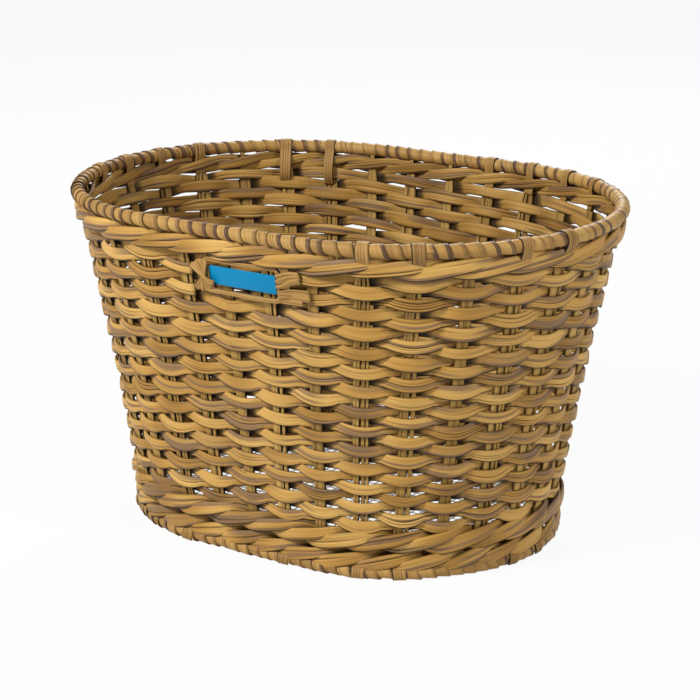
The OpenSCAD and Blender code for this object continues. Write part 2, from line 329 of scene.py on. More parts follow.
# Values of the noise between which a crack fades out, how bright it is inside, and how dark a line is:
# painted shade on the canes, and the dark seams of the binding
CRACK_RANGE = (0.27, 0.38)
CRACK_SHADE = 0.35
LINE_SHADE = 0.93
# How much of the wear shows: a share of it all over, and more by the broad streaks
WEAR_LEAST = 0.5
WEAR_SPREAD = 0.8
CANE_SPECULAR = 0.2
BUMP_STRENGTH = 0.5
BUMP_HEIGHT = 0.5 * MM


def new_material(name):
    material = bpy.data.materials.new(name)
    material.use_nodes = True
    return material, material.node_tree.nodes["Principled BSDF"]


def feed(tree, socket, value):
    """Links a socket to another one, or sets it to a plain value."""
    if isinstance(value, bpy.types.NodeSocket):
        tree.links.new(value, socket)
    else:
        socket.default_value = value


def math_node(tree, operation, a, b, clamp=False):
    node = tree.nodes.new("ShaderNodeMath")
    node.operation = operation
    node.use_clamp = clamp
    feed(tree, node.inputs[0], a)
    feed(tree, node.inputs[1], b)
    return node.outputs["Value"]


def mix_colors(tree, blend, factor, a, b):
    node = tree.nodes.new("ShaderNodeMix")
    node.data_type = "RGBA"
    node.blend_type = blend
    feed(tree, node.inputs["Factor"], factor)
    feed(tree, node.inputs["A"], a)
    feed(tree, node.inputs["B"], b)
    return node.outputs["Result"]


def streaks(tree, uv, kind):
    """Noise that is stretched along a strip."""
    along, over, detail = kind
    stretch = tree.nodes.new("ShaderNodeVectorMath")
    stretch.operation = "MULTIPLY"
    feed(tree, stretch.inputs[0], uv)
    feed(tree, stretch.inputs[1], (along, over, 0.0))
    noise = tree.nodes.new("ShaderNodeTexNoise")
    feed(tree, noise.inputs["Vector"], stretch.outputs["Vector"])
    feed(tree, noise.inputs["Scale"], 1.0)
    feed(tree, noise.inputs["Detail"], detail)
    return noise.outputs["Fac"]


def crack_shade(tree, uv):
    """Dark in cracks along the strip, and else 1."""
    cracks = tree.nodes.new("ShaderNodeMapRange")
    feed(tree, cracks.inputs["Value"], streaks(tree, uv, CRACKS))
    feed(tree, cracks.inputs["From Min"], CRACK_RANGE[0])
    feed(tree, cracks.inputs["From Max"], CRACK_RANGE[1])
    feed(tree, cracks.inputs["To Min"], CRACK_SHADE)
    return cracks.outputs["Result"]


def tone_color(tree, tone, fine, broad, colors):
    """The colour at a tone, which the streaks lift and lower."""
    fine_part = math_node(tree, "MULTIPLY", fine, FINE_SHARE)
    broad_part = math_node(tree, "MULTIPLY", broad, BROAD_SHARE)
    lift = math_node(tree, "ADD", fine_part, broad_part)
    change = math_node(tree, "SUBTRACT", lift, (FINE_SHARE + BROAD_SHARE) / 2)
    ramp = tree.nodes.new("ShaderNodeValToRGB")
    feed(tree, ramp.inputs["Fac"], math_node(tree, "ADD", tone, change, True))
    stops = ramp.color_ramp.elements
    stops.new(TONE_STOPS[1])
    for stop, place, color in zip(stops, TONE_STOPS, colors):
        stop.position = place
        stop.color = (*color, 1)
    return ramp.outputs["Color"]


def cane_material(name, colors, worn, roughness):
    """Streaked cane: its tone, worn parts and dark lines (painted shade on the canes, seams on the binding)
    come from the mesh, fine streaks and cracks from noise."""
    material, shader = new_material(name)
    tree = material.node_tree
    paint = tree.nodes.new("ShaderNodeAttribute")
    paint.attribute_name = "paint"
    split = tree.nodes.new("ShaderNodeSeparateColor")
    feed(tree, split.inputs["Color"], paint.outputs["Color"])
    uv_map = tree.nodes.new("ShaderNodeUVMap")
    uv_map.uv_map = "strand"
    uv = uv_map.outputs["UV"]
    fine = streaks(tree, uv, FINE_STREAKS)
    broad = streaks(tree, uv, BROAD_STREAKS)
    cracks = crack_shade(tree, uv)
    color = tone_color(tree, split.outputs["Red"], fine, broad, colors)
    patches = math_node(tree, "ADD", math_node(tree, "MULTIPLY", broad, WEAR_SPREAD), WEAR_LEAST)
    wear = math_node(tree, "MULTIPLY", split.outputs["Green"], patches)
    color = mix_colors(tree, "MIX", math_node(tree, "MINIMUM", wear, 1.0), color, (*worn, 1))
    # The paint's blue darkens the colour: painted shade on the canes, dark seams on the binding
    clear = math_node(tree, "SUBTRACT", 1.0, math_node(tree, "MULTIPLY", split.outputs["Blue"], LINE_SHADE))
    color = mix_colors(tree, "MULTIPLY", 1.0, color, math_node(tree, "MULTIPLY", cracks, clear))
    bump = tree.nodes.new("ShaderNodeBump")
    feed(tree, bump.inputs["Strength"], BUMP_STRENGTH)
    feed(tree, bump.inputs["Distance"], BUMP_HEIGHT)
    feed(tree, bump.inputs["Height"], math_node(tree, "ADD", fine, cracks))
    feed(tree, shader.inputs["Base Color"], color)
    feed(tree, shader.inputs["Roughness"], roughness)
    feed(tree, shader.inputs["Specular IOR Level"], CANE_SPECULAR)
    feed(tree, shader.inputs["Normal"], bump.outputs["Normal"])
    return material


def plain_material(name, color, roughness, metallic, specular):
    material, shader = new_material(name)
    shader.inputs["Base Color"].default_value = (*color, 1)
    shader.inputs["Roughness"].default_value = roughness
    shader.inputs["Metallic"].default_value = metallic
    shader.inputs["Specular IOR Level"].default_value = specular
    return material


# Each cane has a dark, a middle and a light colour, and the colour of its worn parts.
CANE = cane_material("cane", [(0.14, 0.066, 0.018), (0.455, 0.24, 0.052), (0.71, 0.432, 0.126)],
                     worn=(0.22, 0.13, 0.07), roughness=0.5)
# The stake's colours are darker and greener than the cane's: painted shade, as the stakes lie in the weavers'
# shadow
STAKE = cane_material("stake", [(0.12, 0.066, 0.018), (0.41, 0.235, 0.058), (0.62, 0.4, 0.125)],
                      worn=(0.15, 0.085, 0.045), roughness=0.55)
STRIP = cane_material("strip", [(0.15, 0.075, 0.022), (0.42, 0.231, 0.064), (0.62, 0.39, 0.127)],
                      worn=(0.14, 0.075, 0.04), roughness=0.5)
STEEL = plain_material("wire", (0.8, 0.8, 0.8), roughness=0.4, metallic=0.3, specular=0.5)
LABEL = plain_material("label", (0.002, 0.227, 0.451), roughness=0.35, metallic=0.0, specular=0.15)


def dress(node, material):
    """Gives a CAD node that shows as it is a material."""
    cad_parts[node].data.materials.clear()
    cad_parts[node].data.materials.append(material)


# Strands

# A stray is what wander takes: the places from one random value to the next, and their size.
STRAND_STRAY = {"tone": (1.0, 0.24), "dark": (3.0, 1.0), "groove": (2.0, 1.0), "worn": (1.5, 1.0)}
STRAND_TONES = (0.46, 0.7)
# Now and then a stretch is darker and tinted.
DARK_FROM = 0.6
DARK_GAIN = 4.0
DARK_TONE = 0.15
DARK_TINT = 0.3
# A groove is as deep as its stray lies above one of these.
GROOVES_FROM = (0.2, 0.35, 0.5)
# A band's wear: its stray times a gain, less an amount, up to a most
WORN_GAIN = 3
WORN_LESS = 1.1
WORN_MOST = 0.9

# Painted shade on a strand where it lies deepest in the weaving, from a share of its way in. The light comes
# from the left, so the darkest place is just to the right of a stake, by a share of the way to the next.
CREVICE_SHADE = 1.0
CREVICE_FROM = 0.7
CREVICE_SHIFT = 0.18


def strand_tone(rng, k):
    """Tone and tint along a strand."""
    tone = rng.uniform(*STRAND_TONES) + wander(rng, k, *STRAND_STRAY["tone"])
    dark = np.clip((wander(rng, k, *STRAND_STRAY["dark"]) - DARK_FROM) * DARK_GAIN, 0, 1)
    return tone - DARK_TONE * dark, DARK_TINT * dark


def crevice_shade(forward, inside):
    """Painted shade round a strand's section where it lies deep, from how far forward it lies as its face and
    its inside see it, between -1 and 1."""
    depth = np.where(ON_FACE, -forward[:, None], inside[:, None])
    return CREVICE_SHADE * ease(np.clip((depth - CREVICE_FROM) / (1 - CREVICE_FROM), 0, 1))


def worn_band(rng, k):
    return np.clip(WORN_GAIN * wander(rng, k, *STRAND_STRAY["worn"]) - WORN_LESS, 0, WORN_MOST)


def strand_section(rng, k, width, thick, forward, inside):
    """A strand's section, with grooves that come and go, split deep here and there, worn bands, and painted
    shade where it lies deep in the weaving.
    """
    depths = [wander(rng, k, *STRAND_STRAY["groove"]) - level for level in GROOVES_FROM]
    worn = np.stack([worn_band(rng, k) for band in range(BANDS)], -1)
    over, out, line, worn = cane_section(width, thick, rng.permutation(depths), worn)
    return over, out, np.maximum(line, crevice_shade(forward, inside)), worn


# Weavers: they sink in front of a stake, and rise by a share of that behind one. Between stakes they slope
# down to the right and tilt, and each lays its lower edge over the one below. Where two cross they are
# narrower, most so in the lowest row, and the rows spread from the lowest to the highest. The lower the power
# of their hug, the longer they lie against a stake.
WEAVER_T = 2.0 * MM
WEAVER_W = 8.9 * MM
WEAVER_CROSS_W = [6.2 * MM, 8.4 * MM]
WEAVER_OUT = 2.5 * MM
WEAVER_HUG_POWER = 0.8
WEAVER_DIP = 2.2 * MM
WEAVER_RISE = 0.25
WEAVER_LEAN = 0.5 * MM
WEAVER_TILT = 0.32
WEAVER_LIFT = [-1.0 * MM, 6.0 * MM]
WEAVER_STRAY = {"out": (1.0, 0.3 * MM), "z": (1.0, 0.9 * MM), "width": (1.0, 1.6 * MM), "roll": (1.5, 0.16)}


def weaver_places(node):
    """Places along the wall where a weaver's rings lie, and whether it goes all round. Beside the label it
    stops at the knots."""
    low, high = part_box(node)
    closed = high[2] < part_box("label_frame")[0][2]
    if closed:
        return np.arange(STAKES * STEPS) / STEPS, closed
    spacing = wall_length(middle_z(node)) / STAKES
    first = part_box("label_knot_right")[1][0] / spacing
    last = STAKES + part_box("label_knot_left")[0][0] / spacing
    return np.linspace(first, last, round((last - first) * STEPS)), closed


def weaver(row, side):
    """One of the two strands of a row, in front of every second stake and behind the others."""
    node = f"weaver_{row:02d}{SIDES[side]}"
    rng = draws(row, side)
    k, closed = weaver_places(node)
    turn = math.pi * (k + side + 1)
    front = np.cos(turn)
    hug = np.sign(front) * np.abs(front) ** WEAVER_HUG_POWER
    out = WEAVER_OUT * hug + wander(rng, k, *WEAVER_STRAY["out"])
    sink = np.where(front > 0, front, WEAVER_RISE * front)
    level = middle_z(node) + np.interp(row, [1, ROWS], WEAVER_LIFT)
    z = level - WEAVER_DIP * sink - WEAVER_LEAN * np.sin(turn) + wander(rng, k, *WEAVER_STRAY["z"])
    cross_w = np.interp(row, [1, ROWS], WEAVER_CROSS_W)
    width = cross_w + (WEAVER_W - cross_w) * np.abs(front) + wander(rng, k, *WEAVER_STRAY["width"])
    centre, normal = wall(k, z, out)
    roll = LEAN - WEAVER_TILT * (1 - np.abs(front)) + wander(rng, k, *WEAVER_STRAY["roll"])
    across, face = strip_frame(centre, normal, roll, closed)
    tone, tint = strand_tone(rng, k)
    # Painted shade where the strand lies deep, shifted to the right of each stake
    shift = math.pi * CREVICE_SHIFT
    section = strand_section(rng, k, width, WEAVER_T, np.cos(turn - shift), np.cos(turn + shift))
    piece = Piece(f"strand_{row:02d}{SIDES[side]}", CANE, "cane", node)
    piece.sweep(centre, across, face, section, tone, tint, closed=closed)
    piece.make()


# Wales: a strand lies this far behind every third stake and in front of the others. It turns up and down, and
# is thin by shares, at places from one stake that it passes behind to the next.
WALE_T = 2.6 * MM
WALE_W = 9.8 * MM
WALE_CROSS_W = 6.0 * MM
WALE_BACK = 3.9 * MM
WALE_OUT = 4.8 * MM
WALE_TILT = 0.2
WALE_PERIOD = len(WALE_STRANDS)
WALE_TURNS = [0.85, 2.5]
WALE_THIN_AT = [0.0, 0.4, 1.2, 1.8, 2.6]
WALE_THIN = [0.5, 1, 0, 0, 1]
# The window that softens its turns, and the one for its thin stretches, in rings of vertices
WALE_SOFT = STEPS // 3
WALE_THIN_SOFT = STEPS // 4
# How far it runs past the last stake that it is in front of
WALE_TAIL = 0.5
WALE_STRAY = {"out": (1.0, 0.3 * MM), "z": (1.0, 0.8 * MM), "width": (1.0, 1.2 * MM), "roll": (1.5, 0.15)}


@dataclass
class Wale:
    """A band of three strands: the stake that it starts at, how far it is moved up from its solids and pushed
    out of the wall, and how far its strands climb to each side of its middle."""

    name: str
    seed: int
    start: int
    lift: float
    push: float
    climb: float


# The upper wale is pushed up to the rim, and the lower ones down over the base ring.
WALES = [
    Wale("upper_wale_", UPPER_WALE_SEED, start=1,
         lift=4.0 * MM, push=0.0, climb=4.2 * MM),
    Wale("lower_wale_1", LOWER_WALE_SEEDS[0], start=STAKES // 2 - 2,
         lift=-3.6 * MM, push=3.2 * MM, climb=5.6 * MM),
    Wale("lower_wale_2", LOWER_WALE_SEEDS[1], start=STAKES // 2 + 2,
         lift=-0.8 * MM, push=1.0 * MM, climb=5.6 * MM),
]


def soften(values, half):
    """The mean of values over a soft window that reaches this far to each side."""
    kernel = np.hanning(2 * half + 3)[1:-1]
    padded = np.pad(values, half, mode="edge")
    return np.convolve(padded, kernel / kernel.sum(), mode="valid")


def wale_strand(wale, strand):
    """A strand of a wale: it climbs in front of two stakes and falls behind the third."""
    node = f"{wale.name}{WALE_STRANDS[strand]}"
    rng = draws(wale.seed, strand)
    last_front = max(k for k in range(STAKES + 2) if (k - strand) % WALE_PERIOD == 2)
    end = last_front + WALE_TAIL
    k = np.linspace(strand, end, round((end - strand) * STEPS))
    phase = k - strand
    front = WALE_OUT + wale.push
    passes = np.interp(phase, range(WALE_PERIOD), [-WALE_BACK, front, front], period=WALE_PERIOD)
    out = soften(passes, WALE_SOFT) + wander(rng, k, *WALE_STRAY["out"])
    rise = np.interp(phase, WALE_TURNS, [-wale.climb, wale.climb], period=WALE_PERIOD)
    z = middle_z(node) + wale.lift + soften(rise, WALE_SOFT) + wander(rng, k, *WALE_STRAY["z"])
    thin = soften(np.interp(phase, WALE_THIN_AT, WALE_THIN, period=WALE_PERIOD), WALE_THIN_SOFT)
    width = WALE_W + (WALE_CROSS_W - WALE_W) * thin + wander(rng, k, *WALE_STRAY["width"])
    centre, normal = wall(k + wale.start, z, out)
    roll = LEAN - WALE_TILT + wander(rng, k, *WALE_STRAY["roll"])
    across, face = strip_frame(centre, normal, roll, False)
    tone, tint = strand_tone(rng, k)
    # How far forward it lies, for the painted shade where it lies deep
    forward = 2 * (out + WALE_BACK) / (front + WALE_BACK) - 1
    section = strand_section(rng, k, width, WALE_T, forward, forward)
    piece = Piece(f"band_{node}", CANE, "cane", node)
    piece.sweep(centre, across, face, section, tone, tint)
    piece.make()


# Stakes

STAKE_T = 2.2 * MM
STAKE_STEPS = 60
# A stake slims to a share of its width below the rim, and ends just below its wire's middle.
STAKE_SLIM = 0.4
STAKE_SLIM_Z = 205 * MM
STAKE_TOP = 2.0 * MM
# Strips of a stake, each with its place along the wall and its width: one wide, a wide and a thin, or thinner
# ones
STAKE_KINDS = {
    "wide": [(0.0, 8.6 * MM)],
    "pair": [(-1.9 * MM, 6.4 * MM), (3.3 * MM, 2.9 * MM)],
    "thin": [(-2.6 * MM, 4.6 * MM), (2.0 * MM, 2.6 * MM), (4.7 * MM, 2.0 * MM)],
}
STAKE_ORDER = ["wide", "pair", "wide", "thin", "pair", "wide", "thin", "pair"]
# Strips wider than this have one groove.
STAKE_GROOVED_W = 4 * MM
STAKE_GROOVES = [0.3, 0.0, 0.0]
# Stakes take lower tones than the weavers: painted shade, for the same reason
STAKE_TONES = (0.4, 0.65)
# A stake's height counts as this many places for its strays.
STAKE_SPAN = 8
STAKE_STRAY = {
    "sway": (2.0, 0.6 * MM),
    "along": (2.0, 0.3 * MM),
    "out": (1.0, 0.25 * MM),
    "roll": (2.0, 0.12),
    "width": (2.0, 0.25 * MM),
    "tone": (2.0, 0.12),
}

# The rings of vertices up a stake: their heights, places and shares of the width
STAKE_Z = np.linspace(BASE.z - BOUND_R / 2, RIM.z - STAKE_TOP, STAKE_STEPS)
STAKE_PLACES = np.linspace(0, STAKE_SPAN, STAKE_STEPS)
STAKE_TOP_SHARES = np.clip((STAKE_Z - STAKE_SLIM_Z) / (RIM.z - BOUND_R - STAKE_SLIM_Z), 0, 1)
STAKE_SHARES = 1 - (1 - STAKE_SLIM) * ease(STAKE_TOP_SHARES)


def stake_stray(rng, kind):
    return wander(rng, STAKE_PLACES, *STAKE_STRAY[kind])


def stake_strip(piece, rng, stake, aside, width):
    """One strip of a stake, which lies aside of the stake's middle."""
    spacing = wall_length(STAKE_Z) / STAKES
    k = stake + (aside + stake_stray(rng, "along")) / spacing
    centre, normal = wall(k, STAKE_Z, stake_stray(rng, "out"))
    across, face = strip_frame(centre, normal, stake_stray(rng, "roll"), False)
    widths = (width + stake_stray(rng, "width")) * STAKE_SHARES
    depths = rng.permutation(STAKE_GROOVES) if width > STAKE_GROOVED_W else np.zeros(len(GROOVES))
    section = cane_section(widths, STAKE_T, depths)
    tone = rng.uniform(*STAKE_TONES) + stake_stray(rng, "tone")
    piece.sweep(centre, across, face, section, tone, np.zeros(STAKE_STEPS))


def stakes(quarter):
    """The stakes of a quarter of the wall."""
    group = STAKES // len(QUARTERS)
    piece = Piece(f"canes_{QUARTERS[quarter]}", STAKE, "cane", f"stakes_{QUARTERS[quarter]}")
    for i in range(group):
        stake = quarter * group - group // 2 + i
        rng = draws(STAKE_SEED, stake % STAKES)
        sway = stake_stray(rng, "sway")
        for place, width in STAKE_KINDS[STAKE_ORDER[stake % len(STAKE_ORDER)]]:
            stake_strip(piece, rng, stake, place * STAKE_SHARES + sway, width)
    piece.make()


# Rings and their binding

# Rings of vertices in a turn
TURN_SIDES = 20
BINDING_T = 1.3 * MM
# The binding's section, as shares of its width and thickness, and how dark and worn it is there: dark at its
# edges and back, by a power that keeps the face clear, and worn in a band at one edge
STRIP_FACE = np.array([0.5, 0.485, 0.26, 0.22, 0.15, 0.0, -0.15, -0.34, -0.485, -0.5])
STRIP_BACK = np.array([-0.44, 0.0, 0.44])
STRIP_ACROSS = np.concatenate([STRIP_FACE, STRIP_BACK])
STRIP_FACE_HEIGHT = [0.1, 0.48, 0.5, 0.48, 0.46, 0.5, 0.46, 0.5, 0.48, 0.1]
STRIP_HEIGHT = np.concatenate([STRIP_FACE_HEIGHT, np.full(len(STRIP_BACK), -0.5)])
STRIP_EDGE_LINE = 0.7
STRIP_EDGE_POWER = 20
STRIP_FACE_LINE = STRIP_EDGE_LINE * np.abs(2 * STRIP_FACE) ** STRIP_EDGE_POWER
STRIP_LINE = np.concatenate([STRIP_FACE_LINE, np.ones(len(STRIP_BACK))])
STRIP_BAND_FROM = 0.24
STRIP_WORN = np.where(STRIP_ACROSS > STRIP_BAND_FROM, 1.0, 0.0)
STRIP_TONES = (0.5, 0.62)
# The strip's strays have steps in turns.
STRIP_STRAY = {
    "slide": (1.3, 1.6 * MM),
    "lump": (1.0, 1.0),
    "tilt": (1.0, 0.03),
    "reach": (1.0, 0.2 * MM),
    "width": (1.7, 0.9 * MM),
    "band": (1.0, 1.0),
    "tone": (1.0, 0.16),
    "tint": (2.0, 0.5),
}
STRIP_TINT_FROM = 0.3
BAND_GAIN = 3
# A turn laps over the last one: it is wider than its pitch, and tilted.
LAP_W = 1.3
LAP_TILT = 0.085


@dataclass
class Winding:
    """A strip's turns round a wire: how far apart they lie, and how far out. The more it is banded, the more
    turns have a brown edge, and lumps lift some turns off the floor."""

    pitch: float
    radius: float
    banded: float
    lumps: float


RIM_WINDING = Winding(pitch=9.8 * MM, radius=BOUND_R - 0.25 * MM, banded=0.9, lumps=0.0)
BASE_WINDING = Winding(pitch=9.0 * MM, radius=BOUND_R - 0.45 * MM, banded=-0.9, lumps=0.6 * MM)


def wound_strip(piece, ring, start, end, winding, rng):
    """A strip wound round a wire ring from one share of it to another, each turn lapping over the last."""
    turns = round((end - start) * ring.length / winding.pitch)
    t = np.linspace(0, 1, turns * TURN_SIDES + 1)

    def stray(kind):
        step, size = STRIP_STRAY[kind]
        return wander(rng, t * STAKES, STAKES / turns * step, size)

    u = start + (end - start) * t + stray("slide") / ring.length
    point, normal = outline(u, ring.s, ring.r)
    point[:, 2] += ring.z + winding.lumps * (1 + stray("lump"))
    angle = -2 * math.pi * turns * t[:, None]
    face = np.cos(angle) * normal + np.sin(angle) * UP
    along = np.cross(UP, normal)
    tilt = (LAP_TILT + stray("tilt"))[:, None]
    across = np.cos(tilt) * along + np.sin(tilt) * face
    out = np.cos(tilt) * face - np.sin(tilt) * along
    reach = winding.radius + stray("reach")
    centre = point + face * reach[:, None]
    width = winding.pitch * LAP_W + stray("width")
    over = STRIP_ACROSS * width[:, None]
    height = np.broadcast_to(STRIP_HEIGHT * BINDING_T, over.shape)
    line = np.broadcast_to(STRIP_LINE, over.shape)
    worn = STRIP_WORN * np.clip(BAND_GAIN * stray("band") + winding.banded, 0, 1)[:, None]
    tone = rng.uniform(*STRIP_TONES) + stray("tone")
    tint = np.clip(stray("tint") - STRIP_TINT_FROM, 0, 1)
    piece.sweep(centre, across, out, (over, height, line, worn), tone, tint)
    # Nothing goes below the floor.
    points = piece.points[-1]
    points[:, 2] = np.maximum(points[:, 2], 0.0)


def rim_binding(quarter):
    piece = Piece(f"wrap_{QUARTERS[quarter]}", STRIP, "strip", f"rim_binding_{QUARTERS[quarter]}")
    middle = quarter / len(QUARTERS)
    half = 1 / (2 * len(QUARTERS)) + RIM_WINDING.pitch / 2 / RIM.length
    wound_strip(piece, RIM, middle - half, middle + half, RIM_WINDING, draws(RIM_SEED, quarter))
    piece.make()


def base_binding():
    piece = Piece("wrap_base", STRIP, "strip", "base_binding")
    wound_strip(piece, BASE, 0.0, 1.0, BASE_WINDING, draws(BASE_SEED))
    piece.make()


# Lashings

# Stakes with a lashing over the rim, those whose lashing lies over the upper wale inside, and stakes with a
# lashing over the base ring
RIM_LASHED = [3, 4, 6, 7, 12, 13, 14, 15, 19, 20, 22, 23, 24, 25]
RIM_LASHED_LONG = [19, 20]
BASE_LASHED = [1, 3, 4, 7, 8, 11, 13, 16, 18, 20, 23, 24, 27, 30]
LASHING_T = 1.2 * MM
LASHING_W = 9.2 * MM
# Over the rim they have a share of that width between these.
RIM_LASHING_SHARES = (0.7, 1.0)
LASHING_GROOVES = [0.35, 0.35, 0.35]
LASHING_TONES = (0.45, 0.65)
LASHING_TINTS = (0, 0.25)
# A lashing's length counts as this many places for its strays.
LASHING_SPAN = 8
LASHING_STRAY = {"slide": (4.0, 0.8 * MM), "width": (2.0, 0.5 * MM)}
# How far a lashing's middle lies off the bindings
OVER_RIM = 0.9 * MM
OVER_BASE = 0.7 * MM
CURVE_STEPS = 4


def rounded_path(corners, steps):
    """A smooth run of points through corner points, by Catmull-Rom pieces."""
    corners = np.array(corners)
    ends = np.concatenate([[2 * corners[0] - corners[1]], corners, [2 * corners[-1] - corners[-2]]])
    t = np.linspace(0, 1, steps, endpoint=False)[:, None]
    runs = []
    for a, b, c, d in zip(ends, ends[1:], ends[2:], ends[3:]):
        square = (2 * a - 5 * b + 4 * c - d) * t**2
        cube = (3 * b - a - 3 * c + d) * t**3
        runs.append(0.5 * (2 * b + (c - a) * t + square + cube))
    return np.concatenate(runs + [corners[-1:]])


def lashing(piece, ring, k, path, width, rng):
    """A strip whose path is given across the ring, as places outward and upward from its wire's middle."""
    points, normals = outline(np.array([k / STAKES]), ring.s, ring.r)
    normal = normals[0]
    along = np.cross(UP, normal)
    n = len(path)
    places = np.linspace(0, LASHING_SPAN, n)
    centre = points[0] + ring.z * UP + path[:, :1] * normal + path[:, 1:] * UP
    centre = centre + wander(rng, places, *LASHING_STRAY["slide"])[:, None] * along
    run = unit(np.gradient(centre, axis=0))
    face = unit(np.cross(run, along))
    across = np.cross(face, run)
    widths = width + wander(rng, places, *LASHING_STRAY["width"])
    section = cane_section(widths, LASHING_T, LASHING_GROOVES)
    tone = np.full(n, rng.uniform(*LASHING_TONES))
    tint = np.full(n, rng.uniform(*LASHING_TINTS))
    piece.sweep(centre, across, face, section, tone, tint)


def inside_corner(gap, depth):
    """A corner inside the wall, at a depth below the rim's wire and a gap that grows as the wall leans in."""
    return -gap - depth * math.tan(LEAN), -depth


def rim_lashings():
    """Lashings that come up inside, go over the rim and end outside, under it."""
    piece = Piece("straps_rim", STRIP, "strip", "rim_lashings")
    over = BOUND_R + OVER_RIM
    stake = INSET - BULGES[-1] + STAKE_T / 2 + LASHING_T / 2
    wale = stake + WALE_BACK + WALE_T / 2
    short = [inside_corner(stake, 17 * MM), inside_corner(stake, 9 * MM), (-over, -2 * MM)]
    long = [inside_corner(stake, 28 * MM), inside_corner(wale, 20 * MM), inside_corner(wale, 11 * MM)]
    long.append((-over * 1.1, -3 * MM))
    over_rim = [(-over * 0.72, over * 0.75), (0.0, over), (over * 0.72, over * 0.72), (over, 0.0)]
    outside = [(over * 0.8, -4.5 * MM), (1.5 * MM, -9 * MM), (0.0, -13 * MM)]
    for k in RIM_LASHED:
        rng = draws(RIM_LASHING_SEED, k)
        inner = long if k in RIM_LASHED_LONG else short
        path = rounded_path(inner + over_rim + outside, CURVE_STEPS)
        lashing(piece, RIM, k, path, LASHING_W * rng.uniform(*RIM_LASHING_SHARES), rng)
    piece.make()


def base_lashings():
    """Lashings from the wall over the base ring to its foot."""
    piece = Piece("straps_base", STRIP, "strip", "base_lashings")
    over = BOUND_R + OVER_BASE
    wall_end = [(-1.5 * MM, over + 3 * MM), (-0.5 * MM, over)]
    over_ring = [(over * 0.72, over * 0.72), (over, 0.0), (over * 0.8, -over * 0.6)]
    path = rounded_path(wall_end + over_ring, CURVE_STEPS)
    for k in BASE_LASHED:
        lashing(piece, BASE, k, path, LASHING_W, draws(BASE_LASHING_SEED, k))
    piece.make()


# Base mesh

MESH_D = 0.8 * MM
MESH_PITCH = 6.0 * MM
WIRE_POINTS = 5
WIRE_SIDES = 6
WIRE_ANGLES = np.linspace(0, 2 * math.pi, WIRE_SIDES, endpoint=False)


def wire(piece, start, end, across):
    centre = np.linspace(start, end, WIRE_POINTS)
    over = np.tile(np.cos(WIRE_ANGLES) * MESH_D / 2, (WIRE_POINTS, 1))
    out = np.tile(np.sin(WIRE_ANGLES) * MESH_D / 2, (WIRE_POINTS, 1))
    plain = np.zeros((WIRE_POINTS, WIRE_SIDES))
    none = np.zeros(WIRE_POINTS)
    sides = np.tile(across, (WIRE_POINTS, 1))
    up = np.tile(UP, (WIRE_POINTS, 1))
    piece.sweep(centre, sides, up, (over, out, plain, plain), none, none)


def long_wires():
    piece = Piece("net_long", STEEL, "steel", "mesh_long_wires")
    z = middle_z("mesh_long_wires")
    count = int(BORDER.r / MESH_PITCH)
    for i in range(-count, count + 1):
        y = i * MESH_PITCH
        x = BASE.s + math.sqrt(BORDER.r**2 - y**2)
        wire(piece, (-x, y, z), (x, y, z), (0.0, 1.0, 0.0))
    piece.make()


def cross_wires():
    piece = Piece("net_cross", STEEL, "steel", "mesh_cross_wires")
    z = middle_z("mesh_cross_wires")
    count = int((BASE.s + BORDER.r) / MESH_PITCH)
    for i in range(-count, count + 1):
        x = i * MESH_PITCH
        y = math.sqrt(BORDER.r**2 - max(0.0, abs(x) - BASE.s) ** 2)
        wire(piece, (x, -y, z), (x, y, z), (1.0, 0.0, 0.0))
    piece.make()


# Label

LABEL_ALONG = np.array([1.0, 0.0, 0.0])
LABEL_UP = np.array([0.0, -math.sin(LEAN), math.cos(LEAN)])
LABEL_OUT = np.array([0.0, -math.cos(LEAN), -math.sin(LEAN)])
# The wall bulges at the label, which moves it in those directions.
LABEL_SHIFT = np.array([2.9, 3.6, 4.3]) * MM

PLATE_T = 1.4 * MM
PLATE_H = 12.4 * MM
PLATE_CORNER = 1.2 * MM
PLATE_CORNER_STEPS = 6
PLATE_BEVEL = 0.35 * MM
PLATE_SHARP = math.radians(40)
# The bevel's edge, as shares of it: how far in from the plate's outline, and how far below its face
BEVEL_EDGE = [(0.0, 1.0), (0.3, 0.3), (1.0, 0.0)]

# The frame's middle, along the front and up the wall from the plate's, and its width from knot to knot
FRAME_PLACE = np.array([0.5, 0.5]) * MM
FRAME_W = 59 * MM
# How much less high the frame is than its solid, its corners, and the steps along it
FRAME_LESS = 3 * MM
FRAME_CORNER = 4 * MM
FRAME_CORNER_STEPS = 8
FRAME_STEP = 2 * MM
# Its strip, which lies this far out from the plate's middle
FRAME_STRIP_W = 3.2 * MM
FRAME_STRIP_T = 2.4 * MM
FRAME_OUT = 1.2 * MM
FRAME_GROOVES = [0.0, 0.3, 0.0]
FRAME_TONE = 0.5
FRAME_STRAY = {"sag": (4.0, 0.5 * MM), "out": (4.0, 0.4 * MM), "width": (3.0, 0.4 * MM), "tone": (3.0, 0.12)}

# Strips of a knot, each by its places along the front and up the wall, in millimetres from the frame's end
LEFT_TIE = [
    [(-10.4, 5.3), (-5, 3), (0, 0), (3, -3.2), (7, -5.5)],
    [(-7, 8), (-3, 4.2), (0, 0), (2.5, -4.5), (4.5, -9)],
    [(0.8, 10.5), (0.8, 5), (0.5, 0), (0.3, -5), (0, -11.7)],
    [(-2.5, 9.8), (-1.2, 5), (0, 0), (-1.5, -5), (-4.5, -11.5)],
    [(-5, 9), (-2, 4.5), (-0.3, 0), (-3, -5), (-8.6, -11)],
]
RIGHT_TIE = [
    [(-0.5, 6.5), (4, 8), (10, 9.5), (16.4, 9.8)],
    [(-0.5, 3.5), (4, 5.2), (10, 7.2), (17, 8.4)],
    [(-0.5, 0.2), (4, 1.5), (10, 4), (16.4, 6)],
    [(-0.5, -3.4), (6, -3.2), (14, -2.5), (23, -2.3)],
    [(-0.5, -6.4), (6, -6.2), (14, -6), (23, -5.8)],
    [(-0.5, -9.6), (5, -9.6), (11, -9.3), (17, -9)],
]
TIE_STEPS = 5
